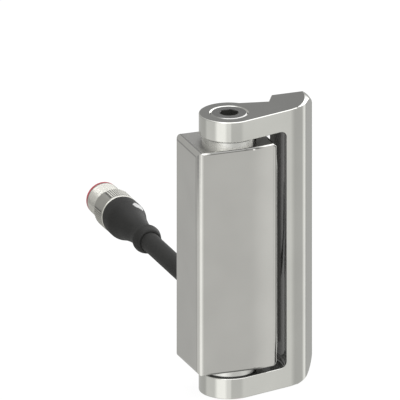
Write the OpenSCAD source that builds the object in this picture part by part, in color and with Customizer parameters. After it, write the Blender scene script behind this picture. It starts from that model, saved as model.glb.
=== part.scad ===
// Safety hinge switch with a rear cable and a round connector.
// Origin: on the mounting face, in line with the hinge pins, at mid-height.
// X to the right, -Y to the front, +Z up. Millimetres.

/* [Hinge bracket] */
// Height of the bracket, which is the height of the whole switch
bracket_height = 100; // [97:0.5:110]
// Thickness of each arm, along the hinge axis
arm_thickness = 7.4; // [6.8:0.1:8]
// Radius of the round knuckles on the pins
knuckle_radius = 10.3; // [10:0.1:10.8]
// Angle at which the front of the arms runs back
front_slope = 16; // [14:1:18]
// Angle of the straight back edge of the arms
back_slope = 12; // [10:1:14]
// Distance from the hinge axis to the back edge of the arms
arm_back = 9.1; // [8.7:0.1:9.5]
// Distance from the hinge axis to the outer back corner of the leaf
leaf_reach = 34.35; // [33.5:0.1:36]
// Radius of the curved front wall of the leaf
leaf_radius = 15.2; // [14:0.2:16.5]
// Angle of the flat end face of the leaf
end_angle = 60; // [56:1:64]
// Radius of the rounded top and bottom rims of the leaf, in section
rim_curve = 7.2; // [7:0.1:8.5]
// Where the mounting face of the leaf begins
flange_start = 19.6; // [19:0.1:20.5]
// Width of the slanted step beside the mounting face
step_width = 3.1; // [2.5:0.1:3.5]
// Rounding of the inner corners between arms and leaf
window_radius = 2; // [1.5:0.1:3]
// Gap between the switch body and the inner wall of the leaf
leaf_gap = 0.96; // [0.6:0.02:1.3]

/* [Pivots] */
// Distance from the mounting face to the hinge axis
pin_back = 11.4; // [11.2:0.1:12]
// Radius of the flush pin heads
head_radius = 6.3; // [6:0.1:6.8]
// Height of the flush pin heads
head_height = 3.4; // [3:0.1:4]
// Radius of the running part of the pins
journal_radius = 5; // [4.6:0.1:5.3]
// Wall of the bearing bushes
bush_wall = 1.4; // [1.2:0.1:1.7]
// Length of the bearing bushes
bush_length = 10.5; // [9.5:0.1:11]
// Thickness of the bush collars let into the body
collar_thickness = 1.2; // [1:0.1:1.5]
// Width of the hexagon sockets, across the flats
socket_flats = 5.6; // [5:0.1:6]
// Depth of the hexagon sockets
socket_depth = 2.6; // [2:0.1:3]
// Radius of the thrust washers
washer_radius = 9.3; // [9:0.1:9.8]
// Thickness of the thrust washers, which fill the gap between body and arms
washer_thickness = 2.35; // [2:0.05:2.6]
// Running clearance, radial and along the axis
run_fit = 0.05; // [0.03:0.01:0.09]

/* [Switch body] */
// Distance from the hinge axis to the left side
body_left = 15.1; // [14.8:0.1:15.3]
// Distance from the hinge axis to the right side
body_right = 14.1; // [13.8:0.1:14.4]
// Distance from the hinge axis to the flat front
body_front = 10.6; // [10.4:0.1:10.8]
// Radius of the gently curved right part of the front
front_radius = 48; // [44:1:54]
// Rounding of the upright edge at the front left
front_rounding = 2.8; // [2:0.1:3.2]
// Rounding of the upright edge at the back left
side_rounding = 1.2; // [0.8:0.1:1.4]
// Rounding of the top and bottom edges on the left and right
end_rounding = 2; // [1.4:0.1:2.2]
// Wall behind the front face
front_wall = 3; // [2.4:0.2:3.6]
// Thickness of the rear cover
cover_thickness = 2.2; // [2:0.1:2.6]
// Thickness of the gasket under the cover
gasket_thickness = 0.8; // [0.6:0.1:1]
// Clearance round the cover in its seat
cover_fit = 0.15; // [0.1:0.05:0.2]
// Radius of the cover screw heads
cover_head = 1.9; // [1.7:0.1:2]

/* [Mounting holes] */
// Tapping radius of the M5 holes
tap_radius = 2.1; // [2.1:0.01:2.15]
// Depth of the M5 holes
tap_depth = 9; // [8:0.5:10]
// Distance of the two holes in the switch body from its ends
hole_inset = 4.2; // [3.8:0.1:4.6]
// Distance between the two holes in the leaf
leaf_pitch = 60; // [40:1:70]
// Distance from the hinge axis to the holes in the leaf
leaf_holes = 25.6; // [25.2:0.1:26.2]

/* [Cable] */
// Radius of the cable
cable_radius = 3.4; // [3:0.1:3.6]
// Height of the cable above the lower end of the switch body
cable_rise = 17.1; // [16.7:0.1:17.7]
// Length of the rubber boot behind the switch
boot_length = 9; // [7:0.5:12]
// Radius of the rubber boot at the switch
boot_radius = 4.5; // [4.3:0.1:4.8]

/* [Connector] */
// Where the connector grip starts, behind the mounting face
grip_start = 65.6; // [60:0.2:75]
// Largest radius of the grip
grip_radius = 7; // [6.9:0.05:7.05]
// Radius over the knurl of the coupling nut
nut_radius = 7.1; // [7:0.05:7.4]
// Radius over the thread of the coupling nut
thread_radius = 6; // [5.9:0.02:6]
// Length of the knurled head of the coupling nut
nut_length = 8.2; // [7.8:0.1:9]
// Length of the threaded sleeve
thread_length = 8.6; // [8:0.1:9]
// Thickness of the red ring at the mouth
ring_thickness = 0.9; // [0.7:0.1:1.2]
// Count of the contact pins round the middle
pin_count = 7; // [4:1:7]

/* [Hidden] */
arm_face = bracket_height / 2 - arm_thickness;
body_half = arm_face - washer_thickness - run_fit;
body_height = 2 * body_half;
body_pitch = body_height - 2 * hole_inset;
cable_drop = body_half - cable_rise;
leaf_inner = sqrt(pow(body_left - side_rounding, 2) + pow(pin_back - side_rounding, 2))
    + side_rounding + leaf_gap;
front_normal = [sin(front_slope), -cos(front_slope)];
end_normal = [sin(end_angle), -cos(end_angle)];
end_offset = leaf_reach * end_normal.x + pin_back * end_normal.y;
front_gap = knuckle_radius - leaf_radius;
end_gap = end_offset - leaf_radius;
slope_det = front_normal.x * end_normal.y - front_normal.y * end_normal.x;
arc_centre = [
    (front_gap * end_normal.y - end_gap * front_normal.y) / slope_det,
    (front_normal.x * end_gap - end_normal.x * front_gap) / slope_det];
step_x = flange_start - step_width;
step_y = (arm_back - step_x * sin(back_slope)) / cos(back_slope);
overlap = 0.01;
front_bend = 2;
rim_tilt = 28;
rim_inner = 21.7;
rim_back = 25.35;
rim_past = 1.37;
rim_centre = [leaf_reach - rim_back, pin_back + rim_past];
rim_outer = rim_inner + rim_curve * (1 - sin(rim_tilt));
bush_radius = journal_radius + bush_wall;
collar_radius = bush_radius + 1.3;
spigot_radius = 2.5;
spigot_drop = 21.2;
spigot_end = body_half - spigot_drop;
carrier_radius = 4.5;
carrier_height = 5;
carrier_grip = 2;
carrier_top = spigot_end + carrier_grip;
carrier_bottom = carrier_top - carrier_height;
magnet_radius = 3;
magnet_height = 1.8;
pocket_left = -10.5;
pocket_right = 9.5;
pocket_rise = 11.7;
pocket_top = carrier_top + 0.6;
pocket_bottom = pocket_rise - body_half;
pocket_front = -(pin_back + body_front - front_wall);
seat_left = pocket_left - 2;
seat_right = pocket_right + 2;
seat_top = pocket_top + 3.8;
seat_bottom = pocket_bottom - 4;
screw_x = [pocket_left + 0.2, pocket_right - 0.2];
screw_z = [seat_top - 2, seat_bottom + 2.1];
screw_length = 7.4;
screw_radius = 1;
gasket_y = -cover_thickness;
ledge_y = gasket_y - gasket_thickness;
tap_x = -10.3;
boot_neck = boot_radius + 0.1;
boot_flange = 5.2;
board_y = ledge_y - 1.6;
board_thickness = 1.2;
sensor_gap = 1.6;
sensor_top = carrier_bottom - sensor_gap;
sensor_width = 15;
sensor_left = -8;
sensor_clear = 2.1;
chip_size = 4.4;
chip_thickness = 1.3;
header_height = 2.4;
header_depth = 2.2;
board_margin = 1;
board_bottom_room = 11.5;
board_top_room = 2.6;
board_bottom = pocket_bottom + board_bottom_room;
board_top = pocket_top - board_top_room;
wire_overlap = 2;
controller_width = 10;
controller_left = -6;
grip_length = 28.4;
nut_start = grip_start + grip_length;
sleeve_start = nut_start + nut_length;
mouth = sleeve_start + thread_length;
sleeve_bore = 5.1;
carrier_stem = 4.2;
mark_angle = -56;
mark_lean = 16;
mark_depth = 5.2;
mark_at = 21;
knurl_sectors = [39, 159, 279];
cable_inner = -6;
cable_points = [
    [0, cable_inner, -cable_drop],
    [0, 8, -cable_drop],
    [0, 20, -cable_drop],
    [0, 35, -cable_drop],
    [0, 50, -cable_drop],
    [0, grip_start + 4, -cable_drop]];
cable_sides = 12;

// Plan shapes, drawn with the hinge axis at the middle

module arm_plan() {
    along_front = [cos(front_slope), sin(front_slope)];
    along_end = [cos(end_angle), sin(end_angle)];
    t = (knuckle_radius - overlap) * front_normal;
    f = arc_centre + (leaf_radius - overlap) * front_normal;
    b = arc_centre + (leaf_radius - overlap) * end_normal;
    back_foot = [arm_back * sin(back_slope), arm_back * cos(back_slope)];
    inside = (f + b) / 2 + [-3, 3];
    circle(r = knuckle_radius, $fn = 96);
    polygon([[0, 0], t, f, inside, b, [leaf_reach, pin_back], [flange_start, pin_back],
        [step_x, step_y], back_foot]);
    intersection() {
        translate(arc_centre) circle(r = leaf_radius, $fn = 180);
        polygon([inside, f - along_front, f - along_front + 3 * front_normal,
            b + along_end + 3 * end_normal + 2 * front_normal, b + along_end + 3 * end_normal, b + along_end]);
    }
}

module body_plan() {
    depth = body_front + pin_back;
    difference() {
        union() {
            translate([-body_left, -body_front]) square([body_left + front_bend, depth]);
            intersection() {
                translate([front_bend, -body_front + front_radius]) circle(r = front_radius, $fn = 360);
                translate([front_bend - 1, -body_front - 1]) square([body_right - front_bend + 1, 8]);
            }
            translate([front_bend - 1, -4]) square([body_right - front_bend + 1, 4 + pin_back]);
        }
        corner_cut(-body_left, -body_front, 1, 1, front_rounding);
        corner_cut(-body_left, pin_back, 1, -1, side_rounding);
        corner_cut(body_right, pin_back, -1, -1, 0.7);
    }
}

// A profile with rounded corners: lower left, lower right, upper right, upper left
module rounded_box(x0, y0, x1, y1, ra, rb, rc, rd) {
    difference() {
        translate([x0, y0]) square([x1 - x0, y1 - y0]);
        corner_cut(x0, y0, 1, 1, ra);
        corner_cut(x1, y0, -1, 1, rb);
        corner_cut(x1, y1, -1, -1, rc);
        corner_cut(x0, y1, 1, -1, rd);
    }
}

module corner_cut(x, y, sx, sy, r) {
    if (r > 0) {
        translate([x, y]) scale([sx, sy]) difference() {
            translate([-1, -1]) square([r + 1, r + 1]);
            translate([r, r]) circle(r = r, $fn = 48);
        }
    }
}

module about_pin() {
    translate([0, -pin_back, 0]) children();
}

module both_ends() {
    children();
    mirror([0, 0, 1]) children();
}

// Hinge side

// A turned disc with rounded rims, whose arc stays on the leaf, and a block over the arms
module rim_form() {
    half = bracket_height / 2;
    foot = half - rim_curve * cos(rim_tilt);
    translate([rim_centre.x, rim_centre.y, 0]) rotate_extrude($fn = 360) difference() {
        translate([0, -half]) square([rim_outer, bracket_height]);
        for (side = [-1, 1]) {
            scale([1, side]) difference() {
                translate([rim_inner, foot]) square([rim_outer - rim_inner + 1, half - foot + 1]);
                translate([rim_inner - rim_curve * sin(rim_tilt), foot]) circle(r = rim_curve, $fn = 240);
            }
        }
    }
    translate([-2 * knuckle_radius, -2 * knuckle_radius, -half])
        cube([2 * knuckle_radius + rim_centre.x + 6, 4 * knuckle_radius, bracket_height]);
}

module hinge_bracket() {
    color([0.76, 0.76, 0.74]) difference() {
        about_pin() intersection() {
            translate([0, 0, -bracket_height / 2]) linear_extrude(bracket_height) arm_plan();
            rim_form();
        }
        about_pin() rotate_extrude($fn = 180) {
            difference() {
                translate([0, -arm_face]) square([leaf_inner, 2 * arm_face]);
                corner_cut(leaf_inner, arm_face, -1, -1, window_radius);
                corner_cut(leaf_inner, -arm_face, -1, 1, window_radius);
            }
        }
        about_pin() both_ends() {
            translate([0, 0, arm_face - 1]) cylinder(r = journal_radius, h = arm_thickness + 2, $fn = 72);
            translate([0, 0, bracket_height / 2 - head_height])
                cylinder(r = head_radius, h = head_height + 1, $fn = 72);
            translate([0, 0, bracket_height / 2 - 0.4])
                cylinder(r1 = head_radius, r2 = head_radius + 0.5, h = 0.5, $fn = 72);
        }
        for (z = [-leaf_pitch / 2, leaf_pitch / 2]) {
            translate([leaf_holes, 0.5, z]) rotate([90, 0, 0])
                cylinder(r = tap_radius, h = tap_depth + 0.5, $fn = 48);
        }
    }
}

module pin_body(journal_end) {
    difference() {
        union() {
            translate([0, 0, bracket_height / 2 - head_height])
                cylinder(r = head_radius, h = head_height - 0.4, $fn = 72);
            translate([0, 0, bracket_height / 2 - 0.4])
                cylinder(r1 = head_radius, r2 = head_radius - 0.4, h = 0.4, $fn = 72);
            translate([0, 0, journal_end])
                cylinder(r = journal_radius, h = bracket_height / 2 - head_height - journal_end, $fn = 72);
        }
        translate([0, 0, bracket_height / 2 - socket_depth])
            cylinder(r = socket_flats / sqrt(3), h = socket_depth + 1, $fn = 6);
        translate([0, 0, bracket_height / 2 - 0.3])
            cylinder(r1 = socket_flats / 2, r2 = socket_flats / 2 + 0.6, h = 0.6, $fn = 48);
    }
}

module upper_pivot_pin() {
    color([0.55, 0.55, 0.54]) about_pin() union() {
        pin_body(body_half - bush_length);
        translate([0, 0, spigot_end])
            cylinder(r = spigot_radius, h = body_half - bush_length - spigot_end + 1, $fn = 48);
    }
}

module lower_pivot_pin() {
    color([0.55, 0.55, 0.54]) about_pin() mirror([0, 0, 1]) pin_body(body_half - bush_length + 1);
}

module magnet_carrier() {
    color([0.1, 0.1, 0.11]) about_pin() difference() {
        translate([0, 0, carrier_bottom])
            cylinder(r = carrier_radius, h = carrier_top - carrier_bottom, $fn = 72);
        translate([0, 0, spigot_end]) cylinder(r = spigot_radius, h = 5, $fn = 48);
        translate([0, 0, carrier_bottom - 1]) cylinder(r = magnet_radius, h = magnet_height + 1, $fn = 48);
    }
}

module code_magnet() {
    color([0.5, 0.5, 0.52]) about_pin() translate([0, 0, carrier_bottom])
        cylinder(r = magnet_radius, h = magnet_height, $fn = 48);
}

// Switch body

module switch_housing() {
    seat_h = seat_top - seat_bottom;
    color([0.73, 0.73, 0.71]) difference() {
        intersection() {
            about_pin() translate([0, 0, -body_half]) linear_extrude(body_height) body_plan();
            rotate([90, 0, 0]) translate([0, 0, -5]) linear_extrude(60)
                rounded_box(-body_left, -body_half, body_right, body_half,
                    end_rounding, end_rounding - 0.3, end_rounding - 0.3, end_rounding);
            about_pin() rotate([90, 0, 90]) translate([0, 0, -40]) linear_extrude(80)
                rounded_box(-body_front, -body_half, pin_back, body_half, 0.9, 0.4, 0.4, 0.9);
        }
        translate([seat_left, -cover_thickness - gasket_thickness, seat_bottom])
            cube([seat_right - seat_left, 10, seat_h]);
        translate([pocket_left, pocket_front, pocket_bottom])
            cube([pocket_right - pocket_left, 30, pocket_top - pocket_bottom]);
        about_pin() both_ends() {
            translate([0, 0, body_half - bush_length])
                cylinder(r = bush_radius, h = bush_length + 2, $fn = 72);
            translate([0, 0, body_half - collar_thickness])
                cylinder(r = collar_radius, h = collar_thickness + 2, $fn = 72);
        }
        about_pin() translate([0, 0, pocket_top - 1])
            cylinder(r = spigot_radius + 0.3, h = body_half - bush_length - pocket_top + 2, $fn = 48);
        for (x = screw_x, z = screw_z) {
            translate([x, ledge_y + 0.5, z]) rotate([90, 0, 0]) cylinder(r = screw_radius, h = 6.5, $fn = 24);
        }
        for (z = [-body_pitch / 2, body_pitch / 2]) {
            translate([tap_x, 0.5, z]) rotate([90, 0, 0])
                cylinder(r = tap_radius, h = tap_depth + 0.5, $fn = 48);
        }
    }
}

module bush() {
    difference() {
        union() {
            translate([0, 0, body_half - bush_length]) cylinder(r = bush_radius, h = bush_length, $fn = 72);
            translate([0, 0, body_half - collar_thickness])
                cylinder(r = collar_radius, h = collar_thickness, $fn = 72);
        }
        translate([0, 0, body_half - bush_length - 1])
            cylinder(r = journal_radius + run_fit, h = bush_length + 2, $fn = 72);
        translate([0, 0, body_half - 1.6]) cylinder(r = journal_radius + 0.9, h = 3, $fn = 72);
    }
}

module upper_bush() {
    color([0.72, 0.55, 0.3]) about_pin() bush();
}

module lower_bush() {
    color([0.72, 0.55, 0.3]) about_pin() mirror([0, 0, 1]) bush();
}

module washer() {
    translate([0, 0, body_half]) difference() {
        union() {
            cylinder(r = washer_radius, h = washer_thickness - 0.4, $fn = 96);
            cylinder(r = washer_radius - 0.4, h = washer_thickness, $fn = 96);
        }
        translate([0, 0, -1]) cylinder(r = journal_radius + 2 * run_fit, h = washer_thickness + 2, $fn = 72);
    }
}

module upper_washer() {
    color([0.74, 0.74, 0.72]) about_pin() washer();
}

module lower_washer() {
    color([0.74, 0.74, 0.72]) about_pin() mirror([0, 0, 1]) washer();
}

module shaft_seals() {
    color([0.08, 0.08, 0.08]) about_pin() both_ends() {
        translate([0, 0, body_half - 1.6]) difference() {
            cylinder(r = journal_radius + 0.9, h = 1.6, $fn = 72);
            translate([0, 0, -1]) cylinder(r = journal_radius + run_fit, h = 4, $fn = 72);
        }
    }
}

module rear_cover() {
    color([0.6, 0.6, 0.59]) difference() {
        translate([seat_left + cover_fit, -cover_thickness, seat_bottom + cover_fit])
            cube([seat_right - seat_left - 2 * cover_fit, cover_thickness,
                seat_top - seat_bottom - 2 * cover_fit]);
        translate([0, 1, -cable_drop]) rotate([90, 0, 0]) cylinder(r = boot_neck, h = 5, $fn = 72);
        for (x = screw_x, z = screw_z) {
            translate([x, 0, z]) rotate([90, 0, 0]) {
                translate([0, 0, -1]) cylinder(r = cover_head, h = 2.2, $fn = 36);
                cylinder(r = screw_radius + 0.2, h = 4, $fn = 24);
            }
        }
    }
}

module cover_gasket() {
    color([0.15, 0.15, 0.15]) difference() {
        translate([seat_left + cover_fit, ledge_y, seat_bottom + cover_fit])
            cube([seat_right - seat_left - 2 * cover_fit, gasket_thickness,
                seat_top - seat_bottom - 2 * cover_fit]);
        translate([pocket_left, ledge_y - 1, pocket_bottom])
            cube([pocket_right - pocket_left, 4, pocket_top - pocket_bottom]);
        for (x = screw_x, z = screw_z) {
            translate([x, 1, z]) rotate([90, 0, 0]) cylinder(r = screw_radius + 0.2, h = 6, $fn = 24);
        }
    }
}

module cover_screws() {
    color([0.7, 0.7, 0.7]) for (x = screw_x, z = screw_z) {
        translate([x, 0, z]) rotate([90, 0, 0]) difference() {
            union() {
                translate([0, 0, 0.2]) cylinder(r = cover_head - 0.05, h = 1, $fn = 36);
                translate([0, 0, 0.2]) cylinder(r = screw_radius, h = screw_length, $fn = 24);
            }
            translate([0, 0, -0.5]) cylinder(r = 0.85, h = 1.4, $fn = 6);
        }
    }
}

module sensor_board() {
    color([0.05, 0.3, 0.16]) translate([sensor_left, pocket_front + 0.5, sensor_top - board_thickness])
        cube([sensor_width, board_y - pocket_front - sensor_clear, board_thickness]);
}

module sensor_chip() {
    color([0.06, 0.06, 0.07]) translate([-chip_size / 2, -pin_back - chip_size / 2, sensor_top])
        cube([chip_size, chip_size, 1]);
}

module control_board() {
    color([0.05, 0.3, 0.16]) translate([pocket_left + board_margin, board_y - board_thickness, board_bottom])
        cube([pocket_right - pocket_left - 2 * board_margin, board_thickness, board_top - board_bottom]);
}

module controller_chips() {
    span = sensor_top - board_thickness - header_height - board_bottom;
    color([0.06, 0.06, 0.07]) for (k = [0.18, 0.576]) {
        translate([controller_left, board_y - board_thickness - chip_thickness, board_bottom + k * span])
            cube([controller_width, chip_thickness, 0.288 * span]);
    }
}

module board_header() {
    color([0.08, 0.08, 0.08]) translate([controller_left, board_y - board_thickness - header_depth,
        sensor_top - board_thickness - header_height])
        cube([controller_width + 1, header_depth, header_height]);
}

// Cable and connector

module along_cable(y) {
    translate([0, y, -cable_drop]) rotate([-90, 0, 0]) children();
}

module cable_boot() {
    color([0.1, 0.1, 0.1]) along_cable(0) difference() {
        union() {
            translate([0, 0, ledge_y]) cylinder(r = boot_flange, h = -ledge_y - cover_thickness, $fn = 72);
            translate([0, 0, -cover_thickness]) cylinder(r = boot_neck, h = cover_thickness, $fn = 72);
            cylinder(r = boot_radius, h = 2.4, $fn = 72);
            translate([0, 0, 2.4])
                cylinder(r1 = boot_radius, r2 = cable_radius + 0.5, h = boot_length - 2.4, $fn = 72);
        }
        translate([0, 0, -6]) cylinder(r = cable_radius, h = boot_length + 12, $fn = 72);
    }
}

module cable_clamp() {
    color([0.65, 0.65, 0.63]) along_cable(cable_inner + 0.6) difference() {
        cylinder(r = cable_radius + 0.9, h = 2, $fn = 48);
        translate([0, 0, -1]) cylinder(r = cable_radius, h = 4, $fn = 48);
    }
}

module conductors() {
    wire_top = board_bottom + wire_overlap;
    color([0.6, 0.35, 0.15]) for (x = [-1.8, -0.6, 0.6, 1.8]) {
        translate([x, cable_inner - 0.8, -cable_drop]) {
            rotate([-90, 0, 0]) cylinder(r = 0.4, h = 0.8, $fn = 16);
            cylinder(r = 0.4, h = cable_drop + wire_top, $fn = 16);
            sphere(r = 0.4, $fn = 16);
        }
    }
}

function ring_at(p) = [for (i = [0 : cable_sides - 1])
    [p.x + cable_radius * cos(i * 360 / cable_sides), p.y,
        p.z + cable_radius * sin(i * 360 / cable_sides)]];

module cable() {
    n = len(cable_points);
    m = cable_sides;
    color([0.16, 0.16, 0.16]) polyhedron(
        points = [for (p = cable_points) each ring_at(p)],
        faces = concat(
            [[for (i = [0 : m - 1]) m - 1 - i]],
            [for (k = [0 : n - 2], i = [0 : m - 1])
                [k * m + i, k * m + (i + 1) % m, (k + 1) * m + (i + 1) % m, (k + 1) * m + i]],
            [[for (i = [0 : m - 1]) (n - 1) * m + i]]));
}

module grip_form() {
    r = grip_radius;
    rotate_extrude($fn = 72) polygon([[0, 0], [4.1, 0], [4.3, 0.15], [4.5, 0.7], [4.75, 1.7], [5, 2.6], [5.05, 3.2],
        [4.95, 4.1], [4.63, 5.4], [4.38, 6.6], [4.22, 7.8], [4.2, 9], [4.3, 10.2], [4.45, 11.4], [4.68, 12.9],
        [4.94, 14.4], [5.32, 16.4], [5.84, 18.4], [6.43, 20.4], [6.8, 21.6], [r - 0.04, 22.6], [r, 23.6],
        [r - 0.03, 26.4], [r - 0.1, 27.8], [r - 0.3, grip_length], [0, grip_length]]);
}

module connector_grip() {
    color([0.12, 0.12, 0.12]) along_cable(grip_start) difference() {
        grip_form();
        translate([0, 0, -1]) cylinder(r = cable_radius, h = 5, $fn = 48);
        translate([0, 0, grip_length - 6]) cylinder(r = carrier_stem, h = 7, $fn = 48);
        mark_block();
    }
}

module mark_block() {
    rotate([0, 0, mark_angle]) translate([mark_depth, 0, mark_at]) rotate([0, mark_lean, 0]) rotate([0, 90, 0])
        linear_extrude(2.5) polygon([[0, 2.4], [-1.3, 1.5], [-1.3, -1.5], [0, -2.4], [1.3, -1.5], [1.3, 1.5]]);
}

module coding_mark() {
    color([0.9, 0.9, 0.9]) along_cable(grip_start) intersection() {
        mark_block();
        grip_form();
    }
}

module contact_carrier() {
    color([0.1, 0.1, 0.1]) along_cable(0) difference() {
        union() {
            translate([0, 0, nut_start - 6]) cylinder(r = carrier_stem, h = nut_length + 7.5, $fn = 48);
            translate([0, 0, sleeve_start - 1.5]) cylinder(r = sleeve_bore - run_fit, h = 4, $fn = 48);
        }
        translate([sleeve_bore, 0, sleeve_start - 2.5]) cylinder(r = 0.8, h = 9, $fn = 24);
    }
}

module contact_pins() {
    color([0.85, 0.68, 0.3]) along_cable(sleeve_start + 2.5) {
        cylinder(r = 0.4, h = 6, $fn = 16);
        for (i = [0 : pin_count - 1]) {
            rotate([0, 0, i * 360 / pin_count]) translate([2.75, 0, 0]) cylinder(r = 0.4, h = 6, $fn = 16);
        }
    }
}

module coupling_nut() {
    head = nut_length;
    color([0.82, 0.81, 0.78]) along_cable(nut_start) difference() {
        union() {
            translate([0, 0, 0.05]) cylinder(r1 = nut_radius - 0.35, r2 = nut_radius - 0.1, h = 0.35, $fn = 72);
            translate([0, 0, 0.4]) cylinder(r = nut_radius - 0.1, h = 0.8, $fn = 72);
            translate([0, 0, 1.2]) cylinder(r = nut_radius - 0.3, h = head - 1.6, $fn = 72);
            intersection() {
                translate([0, 0, 1.2]) cylinder(r = nut_radius, h = head - 1.6, $fn = 72);
                union() {
                    for (a = knurl_sectors, k = [-6 : 6]) {
                        rotate([0, 0, a + k * 4.5]) translate([nut_radius - 0.4, -0.17, 1])
                            cube([1, 0.34, head]);
                    }
                }
            }
            translate([0, 0, head - 0.5]) cylinder(r1 = nut_radius - 0.3, r2 = thread_radius, h = 0.5, $fn = 72);
            translate([0, 0, head - 1]) cylinder(r = thread_radius, h = thread_length + 1, $fn = 72);
        }
        translate([0, 0, -1]) cylinder(r = carrier_stem + run_fit, h = head + 10, $fn = 48);
        translate([0, 0, head - 1.6]) cylinder(r = sleeve_bore, h = thread_length + 3, $fn = 48);
    }
}

module mouth_ring() {
    color([0.78, 0.2, 0.22]) along_cable(mouth) difference() {
        cylinder(r = thread_radius - 0.05, h = ring_thickness, $fn = 72);
        translate([0, 0, -1]) cylinder(r = sleeve_bore, h = 4, $fn = 48);
    }
}

hinge_bracket();
upper_pivot_pin();
lower_pivot_pin();
magnet_carrier();
code_magnet();
switch_housing();
upper_bush();
lower_bush();
upper_washer();
lower_washer();
shaft_seals();
rear_cover();
cover_gasket();
cover_screws();
sensor_board();
sensor_chip();
control_board();
controller_chips();
board_header();
cable_boot();
cable_clamp();
conductors();
cable();
connector_grip();
coding_mark();
contact_carrier();
contact_pins();
coupling_nut();
mouth_ring();
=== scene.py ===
"""Safety hinge switch: looks, light and camera. Metres, in the part's own frame."""
import math

import bmesh
import bpy
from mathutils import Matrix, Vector


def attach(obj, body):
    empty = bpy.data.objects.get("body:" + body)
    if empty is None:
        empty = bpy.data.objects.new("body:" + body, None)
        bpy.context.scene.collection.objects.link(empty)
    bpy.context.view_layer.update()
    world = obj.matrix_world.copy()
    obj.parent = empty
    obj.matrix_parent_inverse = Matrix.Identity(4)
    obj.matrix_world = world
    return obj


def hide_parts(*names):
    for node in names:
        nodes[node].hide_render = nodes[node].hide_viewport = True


MM = 0.001

# Bracket and pins, in millimetres from the hinge axis and from mid-height, as the solids have them
PIN_BACK = 11.4
BRACKET_HALF = 50.0
ARM_FACE = 42.6
BORE_CHAMFER = 0.4
HEAD_RADIUS = 6.3
LEAF_INNER = 19.4
WINDOW_ROUNDING = 2.0
RIM_CENTRE = (9.0, 12.77)
RIM_CURVE = 7.2
RIM_INNER = 21.7
RIM_TILT = 28.0

# Body, and the roundings at its ends
BODY_HALF = 40.2
BODY_LEFT = 15.1
BODY_RIGHT = 14.1
BODY_FRONT = 10.6
LEFT_ROUNDING = 2.0
RIGHT_ROUNDING = 1.7
FRONT_ROUNDING = 0.9
BACK_ROUNDING = 0.4

# Cable and plug, along Y from the mounting face
CABLE_DROP = 23.1
CABLE_RADIUS = 3.4
CABLE_INNER = -6.0
GRIP_START = 65.6
GRIP_LENGTH = 28.4
CABLE_END = GRIP_START + 4
NUT_START = 94.0
NUT_LENGTH = 8.2
NUT_RADIUS = 7.1
THREAD_RADIUS = 6.0
THREAD_LENGTH = 8.6
SLEEVE_BORE = 5.1

# Details that only the scene has; the knurl covers a sector of each third of the nut, in degrees
BRACKET_EDGE = 0.4
BODY_CORNER = 0.7
BORE_SURROUND = 8.0
MARK_PROUD = 0.025
CABLE_POINTS = 16
NUT_SIDES = 60
KNURL_START = 1.5
KNURL_END = NUT_LENGTH - 0.6
KNURL_RINGS = 8
KNURL_BASE = NUT_RADIUS - 0.14
KNURL_SINK = 0.24
KNURL_POINT = 0.36
KNURL_THIRD, KNURL_FROM, KNURL_TO = 120, 51, 111
THREAD_PITCH = 0.5
THREAD_DEPTH = 0.12
THREAD_FLOOR = 0.13
KEY_SOCKET = 3.4

# The photo's view: pixels to a millimetre, and where the top of the hinge axis is in it
AZIMUTH = -20.4
ELEVATION = 20.0
PIXELS = 400
PIXELS_PER_MM = 2.945
ANCHOR = Vector((0, -PIN_BACK, BRACKET_HALF)) * MM
ANCHOR_PIXEL = (229.0, 112.4)

# Levels of the studio: its ceiling, the dark patch and the dark skirt behind the switch, and
# upright bands by their angle from the camera, in degrees to the right
STUDIO_STRENGTH = 4.0
CEILING = 2.4
BACKDROP = 0.33
SKIRT = 0.3
BANDS = [(-180, 0.5), (-168, 0.58), (-104, 0.58), (-92, 0.84), (-58, 0.84), (-44, 1.42), (-16, 1.42),
         (-6, 1.05), (6, 1.05), (10, 0.74), (46, 0.74), (60, 0.90), (76, 0.90), (92, 0.62), (124, 0.62),
         (133, 1.1), (142, 1.1), (149, 0.48), (180, 0.5)]
BAND_TINT = 0.975
FLOOR_LEVEL = -(BRACKET_HALF + 0.2)
LAMP_PLACE = (-0.55, -0.55, 0.75)

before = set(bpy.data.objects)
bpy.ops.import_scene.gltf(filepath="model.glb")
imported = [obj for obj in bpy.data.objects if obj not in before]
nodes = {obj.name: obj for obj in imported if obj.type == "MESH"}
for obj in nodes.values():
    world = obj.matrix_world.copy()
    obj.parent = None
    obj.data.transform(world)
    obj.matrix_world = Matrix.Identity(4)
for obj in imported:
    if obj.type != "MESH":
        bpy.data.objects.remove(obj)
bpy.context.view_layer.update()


# Small helpers for node trees

def new_material(name):
    mat = bpy.data.materials.new(name)
    mat.use_nodes = True
    tree = mat.node_tree
    return mat, tree, tree.nodes["Principled BSDF"]


def math_node(tree, operation, *values):
    node = tree.nodes.new("ShaderNodeMath")
    node.operation = operation
    for i, value in enumerate(values):
        if isinstance(value, (int, float)):
            node.inputs[i].default_value = value
        else:
            tree.links.new(value, node.inputs[i])
    return node.outputs["Value"]


def product(tree, *values):
    result = values[0]
    for value in values[1:]:
        result = math_node(tree, "MULTIPLY", result, value)
    return result


def ramp_value(tree, value, start, end, low=0.0, high=1.0, smooth=False):
    """A value that goes from low to high while another goes from start to end."""
    spread = tree.nodes.new("ShaderNodeMapRange")
    if smooth:
        spread.interpolation_type = "SMOOTHSTEP"
    spread.inputs["From Min"].default_value = start
    spread.inputs["From Max"].default_value = end
    spread.inputs["To Min"].default_value = low
    spread.inputs["To Max"].default_value = high
    tree.links.new(value, spread.inputs["Value"])
    return spread.outputs["Result"]


def blend(tree, amount, colour, shade):
    """Blends a colour towards a plain shade by a mask."""
    mix = tree.nodes.new("ShaderNodeMix")
    mix.data_type = "RGBA"
    mix.inputs["B"].default_value = (*shade, 1)
    tree.links.new(amount, mix.inputs["Factor"])
    tree.links.new(colour, mix.inputs["A"])
    return mix.outputs["Result"]


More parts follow.
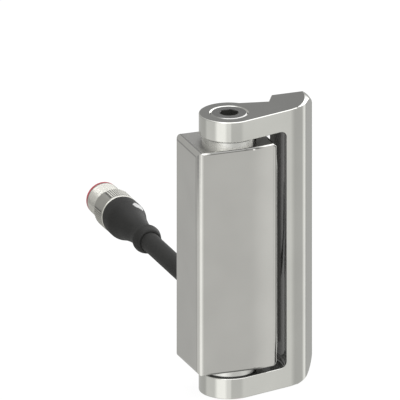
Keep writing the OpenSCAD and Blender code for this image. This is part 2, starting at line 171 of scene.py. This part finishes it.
def place_values(tree):
    """The place on a piece as its X, Y and Z outputs."""
    coords = tree.nodes.new("ShaderNodeTexCoord")
    split = tree.nodes.new("ShaderNodeSeparateXYZ")
    tree.links.new(coords.outputs["Object"], split.inputs["Vector"])
    return split.outputs


def axis_distance(tree, across, shift):
    """Distance from an axis: across has 0 along the axis and 1 beside it, shift brings it to 0."""
    coords = tree.nodes.new("ShaderNodeTexCoord")
    flat = tree.nodes.new("ShaderNodeVectorMath")
    flat.operation = "MULTIPLY_ADD"
    flat.inputs[1].default_value = across
    flat.inputs[2].default_value = [part * MM for part in shift]
    tree.links.new(coords.outputs["Object"], flat.inputs[0])
    away = tree.nodes.new("ShaderNodeVectorMath")
    away.operation = "LENGTH"
    tree.links.new(flat.outputs["Vector"], away.inputs[0])
    return away.outputs["Value"]


# Metals and plastics

def grain_group():
    """Fine unevenness of a blasted and brushed skin: a value for roughness and a normal."""
    group = bpy.data.node_groups.new("Fine metal grain", "ShaderNodeTree")
    for name in ("Scale", "Low", "High", "Relief"):
        group.interface.new_socket(name, in_out="INPUT", socket_type="NodeSocketFloat")
    group.interface.new_socket("Roughness", in_out="OUTPUT", socket_type="NodeSocketFloat")
    group.interface.new_socket("Normal", in_out="OUTPUT", socket_type="NodeSocketVector")
    n, link = group.nodes, group.links
    ins, outs = n.new("NodeGroupInput"), n.new("NodeGroupOutput")
    coords = n.new("ShaderNodeTexCoord")
    noise = n.new("ShaderNodeTexNoise")
    noise.inputs["Detail"].default_value = 4.0
    link.new(coords.outputs["Object"], noise.inputs["Vector"])
    link.new(ins.outputs["Scale"], noise.inputs["Scale"])
    spread = n.new("ShaderNodeMapRange")
    spread.inputs["From Min"].default_value = 0.3
    spread.inputs["From Max"].default_value = 0.7
    link.new(noise.outputs["Fac"], spread.inputs["Value"])
    link.new(ins.outputs["Low"], spread.inputs["To Min"])
    link.new(ins.outputs["High"], spread.inputs["To Max"])
    bump = n.new("ShaderNodeBump")
    bump.inputs["Distance"].default_value = 0.05 * MM
    link.new(noise.outputs["Fac"], bump.inputs["Height"])
    link.new(ins.outputs["Relief"], bump.inputs["Strength"])
    link.new(spread.outputs["Result"], outs.inputs["Roughness"])
    link.new(bump.outputs["Normal"], outs.inputs["Normal"])
    return group


GRAIN = grain_group()


def grained(name, colour, patches, darker, lighter, **grain_values):
    """A material with soft patches of a darker and a lighter tone, and a fine grain."""
    mat, tree, shader = new_material(name)
    tone = tree.nodes.new("ShaderNodeTexNoise")
    tone.inputs["Scale"].default_value = patches
    coords = tree.nodes.new("ShaderNodeTexCoord")
    tree.links.new(coords.outputs["Object"], tone.inputs["Vector"])
    ramp = tree.nodes.new("ShaderNodeValToRGB")
    first, last = ramp.color_ramp.elements
    first.position, last.position = 0.35, 0.65
    first.color = (*[c * darker for c in colour], 1)
    last.color = (*[min(1, c * lighter) for c in colour], 1)
    tree.links.new(tone.outputs["Fac"], ramp.inputs["Fac"])
    tree.links.new(ramp.outputs["Color"], shader.inputs["Base Color"])
    grain = tree.nodes.new("ShaderNodeGroup")
    grain.node_tree = GRAIN
    for socket, value in grain_values.items():
        grain.inputs[socket].default_value = value
    tree.links.new(grain.outputs["Roughness"], shader.inputs["Roughness"])
    tree.links.new(grain.outputs["Normal"], shader.inputs["Normal"])
    return mat, shader


def metal(name, colour, low, high, relief=0.1):
    mat, shader = grained(name, colour, 60.0, 0.97, 1.02, Scale=900.0, Low=low, High=high, Relief=relief)
    shader.inputs["Metallic"].default_value = 1.0
    return mat


def plastic(name, colour, low, high, specular=0.5):
    mat, shader = grained(name, colour, 90.0, 0.92, 1.06, Scale=1500.0, Low=low, High=high, Relief=0.25)
    shader.inputs["Specular IOR Level"].default_value = specular
    return mat


STEEL = metal("Satin steel of the bracket", (0.60, 0.60, 0.575), 0.08, 0.12)
BODY_STEEL = metal("Satin steel of the body", (0.575, 0.57, 0.55), 0.10, 0.14)
WASHER_STEEL = metal("Thrust washer steel", (0.66, 0.66, 0.64), 0.26, 0.3, relief=0.01)
PIN_STEEL = metal("Dark pin steel", (0.42, 0.42, 0.41), 0.14, 0.2)
COVER_STEEL = metal("Rear cover steel", (0.45, 0.45, 0.44), 0.28, 0.36)
SCREW_STEEL = metal("Zinc screws", (0.55, 0.55, 0.54), 0.2, 0.3)
NICKEL = metal("Nickel plating", (0.44, 0.435, 0.405), 0.3, 0.36)
BRONZE = metal("Bearing bronze", (0.48, 0.31, 0.14), 0.25, 0.35)
MAGNET = metal("Magnet plating", (0.35, 0.35, 0.36), 0.25, 0.32)
COPPER = metal("Tinned copper", (0.6, 0.34, 0.2), 0.25, 0.35)
GOLD = metal("Gold plated contacts", (0.8, 0.55, 0.22), 0.15, 0.22)
GRIP_BLACK = plastic("Grip overmould", (0.012, 0.012, 0.0115), 0.52, 0.6, specular=0.22)
SHEATH = plastic("Cable sheath", (0.012, 0.012, 0.0115), 0.52, 0.6, specular=0.22)
RUBBER = plastic("Seal rubber", (0.018, 0.018, 0.018), 0.5, 0.6)
INSERT = plastic("Contact insert", (0.02, 0.02, 0.02), 0.3, 0.4)
MARK = plastic("White mark", (0.38, 0.38, 0.38), 0.4, 0.5)
RED = plastic("Red ring", (0.3, 0.03, 0.045), 0.35, 0.45)
BOARD = plastic("Board lacquer", (0.02, 0.13, 0.05), 0.25, 0.35)
CHIP = plastic("Chip epoxy", (0.012, 0.012, 0.012), 0.4, 0.5)

DEEP_SHADE = (0.03, 0.03, 0.028)
EDGE_SHADE = (0.12, 0.12, 0.115)
ARM_SHADE = (0.1, 0.1, 0.1)
GROOVE_SHADE = (0.05, 0.05, 0.045)


# Darker places, where little light gets in

def shade_where(mat, amount, shade, dull=False):
    """Blends the base colour to a shade by a mask, and may take the metal's shine off there."""
    tree = mat.node_tree
    shader = tree.nodes["Principled BSDF"]
    colour = shader.inputs["Base Color"].links[0].from_socket
    tree.links.new(blend(tree, amount, colour, shade), shader.inputs["Base Color"])
    if dull:
        tree.links.new(math_node(tree, "SUBTRACT", 1.0, amount), shader.inputs["Metallic"])


def darken_inside(mat, radius, reach, rounding=0.0):
    """Painted shade in a hollow round the hinge axis: up to a radius and a height, with rounded corners.
    """
    tree = mat.node_tree
    away = axis_distance(tree, (1, 1, 0), (0, PIN_BACK, 0))
    height = math_node(tree, "ABSOLUTE", place_values(tree)["Z"])
    square = 0.0
    for value, limit in ((away, radius), (height, reach)):
        over = math_node(tree, "SUBTRACT", value, (limit - rounding) * MM)
        over = math_node(tree, "MAXIMUM", over, 0.0)
        square = math_node(tree, "ADD", square, product(tree, over, over))
    depth = math_node(tree, "SQRT", square)
    inside = ramp_value(tree, depth, (rounding + 0.12) * MM, (rounding + 0.02) * MM)
    shade_where(mat, inside, DEEP_SHADE, dull=True)


def shade_body_ends():
    """Less light on the body's front edges under the arms, and duller end faces."""
    middle, outer, inner = -1.75, 10.9, 8.6
    tree = BODY_STEEL.node_tree
    place = place_values(tree)
    height = math_node(tree, "ABSOLUTE", place["Z"])
    aside = math_node(tree, "ABSOLUTE", math_node(tree, "SUBTRACT", place["X"], middle * MM))
    under_arm = product(tree, ramp_value(tree, aside, outer * MM, inner * MM),
                        ramp_value(tree, height, (BODY_HALF - 0.85) * MM, (BODY_HALF - 0.6) * MM),
                        ramp_value(tree, height, (BODY_HALF - 0.01) * MM, (BODY_HALF - 0.08) * MM), 0.88)
    shade_where(BODY_STEEL, under_arm, EDGE_SHADE)
    roughness = tree.nodes["Principled BSDF"].inputs["Roughness"]
    end_face = ramp_value(tree, height, (BODY_HALF - 0.04) * MM, (BODY_HALF - 0.01) * MM, 0.0, 0.3)
    tree.links.new(math_node(tree, "MAXIMUM", roughness.links[0].from_socket, end_face), roughness)


def shade_washers():
    """Painted shade: a dark line on the washers where they meet the arms, in the arms' shadow."""
    tree = WASHER_STEEL.node_tree
    height = math_node(tree, "ABSOLUTE", place_values(tree)["Z"])
    edge = ramp_value(tree, height, (ARM_FACE - 0.5) * MM, (ARM_FACE - 0.2) * MM)
    shade_where(WASHER_STEEL, product(tree, edge, 0.7), ARM_SHADE)


def shade_knurl():
    """Painted shade in the bottoms between the points of the nut's knurl."""
    tree = NICKEL.node_tree
    away = axis_distance(tree, (1, 0, 1), (0, 0, CABLE_DROP))
    along = place_values(tree)["Y"]
    start, end = NUT_START + KNURL_START, NUT_START + KNURL_END
    grooves = product(tree, ramp_value(tree, away, (NUT_RADIUS - 0.16) * MM, (NUT_RADIUS - 0.36) * MM),
                      ramp_value(tree, along, (start - 0.3) * MM, start * MM),
                      ramp_value(tree, along, (end + 0.2) * MM, end * MM), 0.75)
    shade_where(NICKEL, grooves, GROOVE_SHADE)


# Painted shade on the bracket's walls round the hinge axis, and in the pins' key sockets
darken_inside(STEEL, LEAF_INNER + 0.2, ARM_FACE + 0.02, WINDOW_ROUNDING)
darken_inside(PIN_STEEL, KEY_SOCKET, BRACKET_HALF + 10)
shade_body_ends()
shade_washers()
shade_knurl()


# Modelling helpers

def only(obj):
    """Makes a piece the one that is selected and active, in object mode."""
    if bpy.context.object and bpy.context.object.mode != "OBJECT":
        bpy.ops.object.mode_set(mode="OBJECT")
    bpy.ops.object.select_all(action="DESELECT")
    obj.select_set(True)
    bpy.context.view_layer.objects.active = obj


def paint(obj, mat):
    """One material on every slot of a piece."""
    obj.data.materials.clear()
    obj.data.materials.append(mat)


def soften(obj, angle):
    only(obj)
    bpy.ops.object.shade_smooth_by_angle(angle=math.radians(angle))


def joined_copy(node, name):
    """A copy of a CAD node with its loose triangles joined and its flat faces whole."""
    source = nodes[node]
    obj = source.copy()
    obj.data = source.data.copy()
    obj.name = name
    obj.parent = None
    bpy.context.collection.objects.link(obj)
    only(obj)
    bpy.ops.object.mode_set(mode="EDIT")
    bpy.ops.mesh.select_all(action="SELECT")
    bpy.ops.mesh.remove_doubles(threshold=0.002 * MM)
    bpy.ops.mesh.dissolve_limited(angle_limit=math.radians(0.5), delimit={"NORMAL"})
    bpy.ops.mesh.normals_make_consistent(inside=False)
    bpy.ops.object.mode_set(mode="OBJECT")
    return obj


def round_edges(obj, width, wanted, segments):
    """Rounds the sharp edges for which wanted(middle) holds, in millimetres from the hinge axis."""
    sharp = math.radians(24)
    only(obj)
    bpy.ops.object.mode_set(mode="EDIT")
    bpy.ops.mesh.select_mode(type="EDGE")
    bpy.ops.mesh.select_all(action="DESELECT")
    mesh = bmesh.from_edit_mesh(obj.data)
    count = 0
    for edge in mesh.edges:
        if len(edge.link_faces) == 2 and edge.calc_face_angle() > sharp:
            middle = (edge.verts[0].co + edge.verts[1].co) / 2 / MM
            edge.select = wanted(middle + Vector((0, PIN_BACK, 0)))
            count += edge.select
    bmesh.update_edit_mesh(obj.data)
    if count:
        bpy.ops.mesh.bevel(offset=width * MM, segments=segments, profile=0.5, affect="EDGES",
                           clamp_overlap=False)
    bpy.ops.object.mode_set(mode="OBJECT")


def even_shading(obj):
    """Smooth over fillets, while big flat faces keep their own direction."""
    soften(obj, 35)
    even = obj.modifiers.new("Flat faces stay flat", "WEIGHTED_NORMAL")
    even.mode = "FACE_AREA"
    even.weight = 80
    even.keep_sharp = True
    only(obj)
    bpy.ops.object.modifier_apply(modifier=even.name)


def lathe(name, profile, mat, start, sides, angle, closed):
    """A turned piece on the cable's axis. profile is a list of (y, radius) in millimetres."""
    y, r = profile[0]
    bpy.ops.object.select_all(action="DESELECT")
    bpy.ops.mesh.primitive_circle_add(
        vertices=sides, radius=r * MM, fill_type="NGON" if closed else "NOTHING",
        location=(0, (start + y) * MM, -CABLE_DROP * MM), rotation=(math.radians(90), 0, 0))
    obj = bpy.context.object
    obj.name = name
    bpy.ops.object.transform_apply(location=True, rotation=True, scale=True)
    bpy.ops.object.mode_set(mode="EDIT")
    bpy.ops.mesh.select_all(action="SELECT")
    for step_y, step_r in profile[1:]:
        bpy.ops.mesh.extrude_region_move(TRANSFORM_OT_translate={"value": (0, (step_y - y) * MM, 0)})
        if abs(step_r - r) > 1e-9:
            k = step_r / r
            bpy.ops.transform.resize(value=(k, 1, k),
                                     center_override=(0, (start + step_y) * MM, -CABLE_DROP * MM))
        y, r = step_y, step_r
    if not closed:
        bpy.ops.mesh.delete(type="ONLY_FACE")
    bpy.ops.mesh.select_all(action="SELECT")
    bpy.ops.mesh.normals_make_consistent(inside=False)
    bpy.ops.object.mode_set(mode="OBJECT")
    soften(obj, angle)
    paint(obj, mat)
    return obj


def smooth_profile(points, steps=3):
    """A curve through the points (Catmull-Rom), with steps pieces between two of them."""
    out = []
    for i in range(len(points) - 1):
        p0 = points[max(i - 1, 0)]
        p1, p2 = points[i], points[i + 1]
        p3 = points[min(i + 2, len(points) - 1)]
        for k in range(steps):
            t = k / steps
            out.append(tuple(
                0.5 * (2 * b + (c - a) * t + (2 * a - 5 * b + 4 * c - d) * t * t
                       + (3 * b - a - 3 * c + d) * t ** 3)
                for a, b, c, d in zip(p0, p1, p2, p3)))
    out.append(points[-1])
    return out


# Exact directions of the curved steel faces. Each function takes a place p in millimetres from the
# hinge axis and gives the outward direction there, or None more than about SLACK off its surface.

SLACK = 0.02


def rim_normal(p):
    """The turned rim of the leaf."""
    tilt = math.radians(RIM_TILT)
    away = Vector((p.x - RIM_CENTRE[0], p.y - RIM_CENTRE[1]))
    ring = away.length - (RIM_INNER - RIM_CURVE * math.sin(tilt))
    rise = abs(p.z) - (BRACKET_HALF - RIM_CURVE * math.cos(tilt))
    if ring < 0 or rise < -SLACK or abs(math.hypot(ring, rise) - RIM_CURVE) > 2 * SLACK:
        return None
    away.normalize()
    return Vector((ring * away.x, ring * away.y, math.copysign(max(rise, 0), p.z))).normalized()


def roll(axis, edge, radius):
    """A rounding along X (0) or Y (1) between an end of the body and the side at edge."""
    first = edge - math.copysign(radius, edge)
    second = BODY_HALF - radius

    def direction(p):
        one = (p.y if axis == 0 else p.x) - first
        two = abs(p.z) - second
        if abs(math.hypot(one, two) - radius) > SLACK or one * first < -SLACK or two < -SLACK:
            return None
        up = math.copysign(max(two, 0), p.z)
        return Vector((0, one, up) if axis == 0 else (one, 0, up)).normalized()
    return direction


def cone(way):
    """The 45 degree chamfer between pin head and arm: way is 1 on the pin and -1 in the bore."""
    height = BRACKET_HALF - BORE_CHAMFER

    def direction(p):
        away = math.hypot(p.x, p.y)
        rise = abs(p.z) - height
        if abs(way * (HEAD_RADIUS - away) - rise) > SLACK or rise < -SLACK / 2:
            return None
        return Vector((way * p.x / away, way * p.y / away, math.copysign(1, p.z))).normalized()
    return direction


def flat_end(height):
    """The flat faces at both ends, at one height above and below the middle."""
    def direction(p):
        return Vector((0, 0, math.copysign(1, p.z))) if abs(abs(p.z) - height) < 0.003 else None
    return direction


def exact_shading(obj, surfaces):
    """Gives the faces on the named surfaces their exact directions. Slivers follow them too."""
    sliver, same_way = 2e-9, 0.93
    mesh = obj.data
    normals = [Vector(n.vector) for n in mesh.corner_normals]
    for face in mesh.polygons:
        places = [mesh.vertices[i].co / MM + Vector((0, PIN_BACK, 0)) for i in face.vertices]
        for surface in surfaces:
            exact = [surface(p) for p in places]
            if all(exact) and (face.area < sliver or all(n.dot(face.normal) > same_way for n in exact)):
                for loop, normal in zip(face.loop_indices, exact):
                    normals[loop] = normal
                break
    mesh.normals_split_custom_set(normals)


# Steel pieces

def build_bracket():
    """The bracket with its edges rounded, but not at the bores and on the turned rim."""
    bracket = joined_copy("hinge_bracket", "bracket_rounded")
    round_edges(bracket, BRACKET_EDGE,
                lambda p: math.hypot(p.x, p.y) > BORE_SURROUND and rim_normal(p) is None, segments=3)
    even_shading(bracket)
    exact_shading(bracket, [flat_end(BRACKET_HALF), rim_normal, cone(-1)])
    paint(bracket, STEEL)
    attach(bracket, "bracket")
    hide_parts("hinge_bracket")


def at_front_corner(p):
    """Near the corners where the body's front, right side and ends meet."""
    return p.y < 1.8 - BODY_FRONT and p.x > 5 and abs(p.z) > BODY_HALF - 2


def build_body():
    body = joined_copy("switch_housing", "body_rounded")
    round_edges(body, BODY_CORNER, at_front_corner, segments=4)
    even_shading(body)
    exact_shading(body, [flat_end(BODY_HALF), roll(1, -BODY_LEFT, LEFT_ROUNDING),
                         roll(1, BODY_RIGHT, RIGHT_ROUNDING), roll(0, -BODY_FRONT, FRONT_ROUNDING),
                         roll(0, PIN_BACK, BACK_ROUNDING)])
    paint(body, BODY_STEEL)
    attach(body, "switch")
    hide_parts("switch_housing")


def build_pin(end):
    pin = joined_copy(end + "_pivot_pin", end + "_pin_rounded")
    even_shading(pin)
    exact_shading(pin, [flat_end(BRACKET_HALF), cone(1)])
    paint(pin, PIN_STEEL)
    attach(pin, "bracket")
    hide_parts(end + "_pivot_pin")


build_bracket()
build_body()
build_pin("upper")
build_pin("lower")


# Nodes that keep the mesh of their solid

NODE_MATERIALS = {
    "upper_washer": WASHER_STEEL, "lower_washer": WASHER_STEEL,
    "upper_bush": BRONZE, "lower_bush": BRONZE,
    "magnet_carrier": INSERT, "code_magnet": MAGNET, "shaft_seals": RUBBER,
    "rear_cover": COVER_STEEL, "cover_gasket": RUBBER, "cover_screws": SCREW_STEEL,
    "sensor_board": BOARD, "control_board": BOARD, "sensor_chip": CHIP, "controller_chips": CHIP,
    "board_header": INSERT, "cable_boot": RUBBER, "cable_clamp": SCREW_STEEL, "conductors": COPPER,
    "coding_mark": MARK, "contact_carrier": INSERT, "contact_pins": GOLD, "mouth_ring": RED,
}


def dress_node(name, mat):
    slots = nodes[name].material_slots
    if len(slots) == 0:
        nodes[name].data.materials.append(mat)
    for one in slots:
        one.material = mat


for node_name, node_material in NODE_MATERIALS.items():
    dress_node(node_name, node_material)


# Connector grip, from the ring at its neck to its wide end

GRIP_OUTLINE = [
    (0.05, 3.8), (0.3, 4.15), (0.8, 4.47), (1.7, 4.75), (2.6, 5.0), (3.2, 5.05), (4.1, 4.95), (5.4, 4.63),
    (6.6, 4.38), (7.8, 4.22), (9.0, 4.2), (10.2, 4.3), (11.4, 4.45), (12.9, 4.68), (14.4, 4.94),
    (16.4, 5.32), (18.4, 5.84), (20.4, 6.43), (21.6, 6.8), (22.6, 6.96), (23.6, 7.0), (26.4, 6.97),
    (27.8, 6.9), (28.4, 6.7)]


def build_grip():
    """The grip, a little thinner than its solid, so that the white mark stands proud of it."""
    profile = [(0.0, CABLE_RADIUS + 0.01), (0.0, 3.6)]
    profile += [(y, r - MARK_PROUD) for y, r in smooth_profile(GRIP_OUTLINE)]
    profile += [(GRIP_LENGTH, 4.2)]
    grip = lathe("grip_overmould", profile, GRIP_BLACK, GRIP_START, sides=128, angle=32, closed=True)
    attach(grip, "switch")
    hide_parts("connector_grip")
    return grip


grip = build_grip()


# Coupling nut with its knurl and threaded sleeve

def nut_profile():
    """Outline of the nut and its sleeve: along the outside, and back through the bore."""
    step = (KNURL_END - KNURL_START) / KNURL_RINGS
    profile = [(0.05, NUT_RADIUS - 0.55), (0.12, NUT_RADIUS - 0.38), (0.3, NUT_RADIUS - 0.2),
               (0.55, NUT_RADIUS - 0.12), (1.0, NUT_RADIUS - 0.12), (1.2, KNURL_BASE)]
    profile += [(KNURL_START + i * step, KNURL_BASE) for i in range(KNURL_RINGS + 1)]
    profile += [(NUT_LENGTH - 0.4, NUT_RADIUS - 0.45), (NUT_LENGTH - 0.1, THREAD_RADIUS + 0.25),
                (NUT_LENGTH, THREAD_RADIUS)]
    for i in range(int((THREAD_LENGTH - 0.8) / THREAD_PITCH)):
        y = NUT_LENGTH + 0.4 + i * THREAD_PITCH
        floor_end = y + THREAD_DEPTH + THREAD_FLOOR
        profile += [(y, THREAD_RADIUS), (y + THREAD_DEPTH, THREAD_RADIUS - THREAD_DEPTH),
                    (floor_end, THREAD_RADIUS - THREAD_DEPTH), (floor_end + THREAD_DEPTH, THREAD_RADIUS)]
    end = NUT_LENGTH + THREAD_LENGTH
    inner_end, inner_radius = NUT_LENGTH - 1.6, 4.3
    return profile + [
        (end - 0.25, THREAD_RADIUS), (end, THREAD_RADIUS - 0.2), (end, SLEEVE_BORE),
        (inner_end, SLEEVE_BORE), (inner_end, inner_radius), (0.05, inner_radius), profile[0]]


def press_knurl(obj):
    """Sinks the knurled sectors of the nut and raises a point from each of their faces."""
    only(obj)
    bpy.ops.object.mode_set(mode="EDIT")
    bpy.ops.mesh.select_all(action="SELECT")
    bpy.ops.mesh.remove_doubles(threshold=0.002 * MM)
    bpy.ops.mesh.select_all(action="DESELECT")
    mesh = bmesh.from_edit_mesh(obj.data)
    low = (NUT_START + KNURL_START - 0.01) * MM
    high = (NUT_START + KNURL_END + 0.01) * MM
    for face in mesh.faces:
        if not all(low < v.co.y < high for v in face.verts):
            continue
        centre = face.calc_center_median()
        z = centre.z + CABLE_DROP * MM
        if math.hypot(centre.x, z) < (NUT_RADIUS - 0.5) * MM:
            continue
        face.select = KNURL_FROM < math.degrees(math.atan2(z, centre.x)) % KNURL_THIRD < KNURL_TO
    bmesh.update_edit_mesh(obj.data)
    sink = 1 - KNURL_SINK / NUT_RADIUS
    bpy.ops.transform.resize(value=(sink, 1, sink), center_override=(0, 0, -CABLE_DROP * MM))
    bpy.ops.mesh.poke(offset=KNURL_POINT * MM)
    bpy.ops.object.mode_set(mode="OBJECT")
    soften(obj, 24)


def build_nut():
    nut = lathe("knurled_coupling_nut", nut_profile(), NICKEL, NUT_START, sides=NUT_SIDES, angle=28,
                closed=False)
    press_knurl(nut)
    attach(nut, "coupling")
    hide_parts("coupling_nut")
    return nut


nut = build_nut()


# Cable, straight from the body to the grip

def build_cable():
    curve = bpy.data.curves.new("cable_run", "CURVE")
    curve.dimensions = "3D"
    curve.bevel_depth = CABLE_RADIUS * MM
    curve.bevel_resolution = 12
    curve.use_fill_caps = True
    spline = curve.splines.new("POLY")
    spline.points.add(CABLE_POINTS - 1)
    for i, point in enumerate(spline.points):
        y = CABLE_INNER + i * (CABLE_END - CABLE_INNER) / (CABLE_POINTS - 1)
        point.co = (0, y * MM, -CABLE_DROP * MM, 1)
    cable = bpy.data.objects.new("cable_run", curve)
    bpy.context.collection.objects.link(cable)
    curve.materials.append(SHEATH)
    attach(cable, "switch")
    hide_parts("cable")


build_cable()


# Floor, light and camera

def mixed_shader(tree, amount, first, second):
    mix = tree.nodes.new("ShaderNodeMixShader")
    tree.links.new(amount, mix.inputs["Fac"])
    tree.links.new(first, mix.inputs[1])
    tree.links.new(second, mix.inputs[2])
    return mix.outputs["Shader"]


def build_floor():
    """A pale floor that is nearly white to the camera and keeps the shadow."""
    bpy.ops.object.select_all(action="DESELECT")
    bpy.ops.mesh.primitive_plane_add(size=6, location=(0, 0, FLOOR_LEVEL * MM))
    floor = bpy.context.object
    floor.name = "floor"
    mat, tree, shader = new_material("Pale floor")
    shader.inputs["Base Color"].default_value = (0.95, 0.95, 0.95, 1)
    shader.inputs["Roughness"].default_value = 0.9
    path = tree.nodes.new("ShaderNodeLightPath")
    glow = tree.nodes.new("ShaderNodeEmission")
    glow.inputs["Strength"].default_value = 1.0
    amount = product(tree, path.outputs["Is Camera Ray"], 0.93)
    tree.links.new(mixed_shader(tree, amount, shader.outputs["BSDF"], glow.outputs["Emission"]),
                   tree.nodes["Material Output"].inputs["Surface"])
    paint(floor, mat)
    floor.visible_glossy = False


def along(tree, direction, axis):
    """How far a direction points along an axis, from -1 to 1."""
    dot = tree.nodes.new("ShaderNodeVectorMath")
    dot.operation = "DOT_PRODUCT"
    dot.inputs[1].default_value = axis
    tree.links.new(direction, dot.inputs[0])
    return dot.outputs["Value"]


def grey(level):
    return (level / STUDIO_STRENGTH,) * 3


def light_bands(tree, side, near):
    """Upright bands of light round the switch, as a colour."""
    bands = tree.nodes.new("ShaderNodeValToRGB")
    ramp = bands.color_ramp
    while len(ramp.elements) > 1:
        ramp.elements.remove(ramp.elements[-1])
    ramp.elements[0].position = 0.0
    for i, (degrees, level) in enumerate(BANDS):
        element = ramp.elements[0] if i == 0 else ramp.elements.new((degrees + 180) / 360)
        red, green, blue = grey(level)
        element.color = (red, green, blue * BAND_TINT, 1)
    angle = math_node(tree, "ARCTAN2", side, near)
    tree.links.new(ramp_value(tree, angle, -math.pi, math.pi), bands.inputs["Fac"])
    return bands.outputs["Color"]


def build_world():
    """White to the camera; a soft studio with upright light bands to everything else."""
    world = bpy.data.worlds.new("Soft studio")
    bpy.context.scene.world = world
    world.use_nodes = True
    tree = world.node_tree
    tree.nodes.clear()
    direction = tree.nodes.new("ShaderNodeTexCoord").outputs["Generated"]
    turn = math.radians(AZIMUTH)
    # up: to the sky; side: to the right of the camera; near: towards the camera
    up = along(tree, direction, (0, 0, 1))
    side = along(tree, direction, (math.cos(turn), math.sin(turn), 0))
    near = along(tree, direction, (math.sin(turn), -math.cos(turn), 0))
    light = light_bands(tree, side, near)
    patch = product(tree, ramp_value(tree, up, 0.08, 0.22, smooth=True),
                    ramp_value(tree, near, -0.6, -0.82, smooth=True),
                    ramp_value(tree, math_node(tree, "ABSOLUTE", side), 0.34, 0.2))
    light = blend(tree, patch, light, grey(BACKDROP))
    skirt = product(tree, ramp_value(tree, up, -0.29, -0.24), ramp_value(tree, up, -0.06, -0.12),
                    ramp_value(tree, side, -0.4, -0.6), 0.9)
    light = blend(tree, skirt, light, grey(SKIRT))
    ahead = math_node(tree, "MAXIMUM", ramp_value(tree, near, -0.8, -0.55),
                      ramp_value(tree, side, 0.0, 0.2))
    ceiling = product(tree, ramp_value(tree, up, 0.42, 0.58, smooth=True),
                      ramp_value(tree, side, -0.6, -0.25, smooth=True), ahead)
    wall = product(tree, ramp_value(tree, up, -0.14, 0.02), ramp_value(tree, side, 0.22, 0.34),
                   ramp_value(tree, near, -0.2, -0.45))
    light = blend(tree, math_node(tree, "MAXIMUM", ceiling, wall), light, grey(CEILING))
    studio = tree.nodes.new("ShaderNodeBackground")
    studio.inputs["Strength"].default_value = STUDIO_STRENGTH
    tree.links.new(light, studio.inputs["Color"])
    white = tree.nodes.new("ShaderNodeBackground")
    white.inputs["Strength"].default_value = 1.0
    path = tree.nodes.new("ShaderNodeLightPath")
    out = tree.nodes.new("ShaderNodeOutputWorld")
    tree.links.new(mixed_shader(tree, path.outputs["Is Camera Ray"], studio.outputs["Background"],
                                white.outputs["Background"]), out.inputs["Surface"])


def build_lamp():
    data = bpy.data.lights.new("soft key", "AREA")
    data.shape = "DISK"
    data.size = 0.5
    data.energy = 1.0
    lamp = bpy.data.objects.new("soft key", data)
    bpy.context.collection.objects.link(lamp)
    lamp.location = LAMP_PLACE
    lamp.rotation_euler = (-Vector(LAMP_PLACE)).to_track_quat("-Z", "Y").to_euler()


def build_camera():
    """Straight-line view (no perspective) from the photo's angle, framed as the photo is."""
    a, e = math.radians(AZIMUTH), math.radians(ELEVATION)
    back = Vector((math.sin(a) * math.cos(e), -math.cos(a) * math.cos(e), math.sin(e)))
    right = Vector((math.cos(a), math.sin(a), 0))
    up = back.cross(right)
    data = bpy.data.cameras.new("camera")
    data.type = "ORTHO"
    data.ortho_scale = PIXELS / PIXELS_PER_MM * MM
    data.clip_start = 0.01
    data.clip_end = 20
    camera = bpy.data.objects.new("camera", data)
    bpy.context.collection.objects.link(camera)
    pixel = MM / PIXELS_PER_MM
    middle = (ANCHOR + right * (PIXELS / 2 - ANCHOR_PIXEL[0]) * pixel
              + up * (ANCHOR_PIXEL[1] - PIXELS / 2) * pixel)
    camera.location = middle + back * 1.0
    camera.rotation_euler = (-back).to_track_quat("-Z", "Y").to_euler()
    bpy.context.scene.camera = camera


build_floor()
build_world()
build_lamp()
build_camera()
bpy.context.scene.view_settings.view_transform = "Standard"
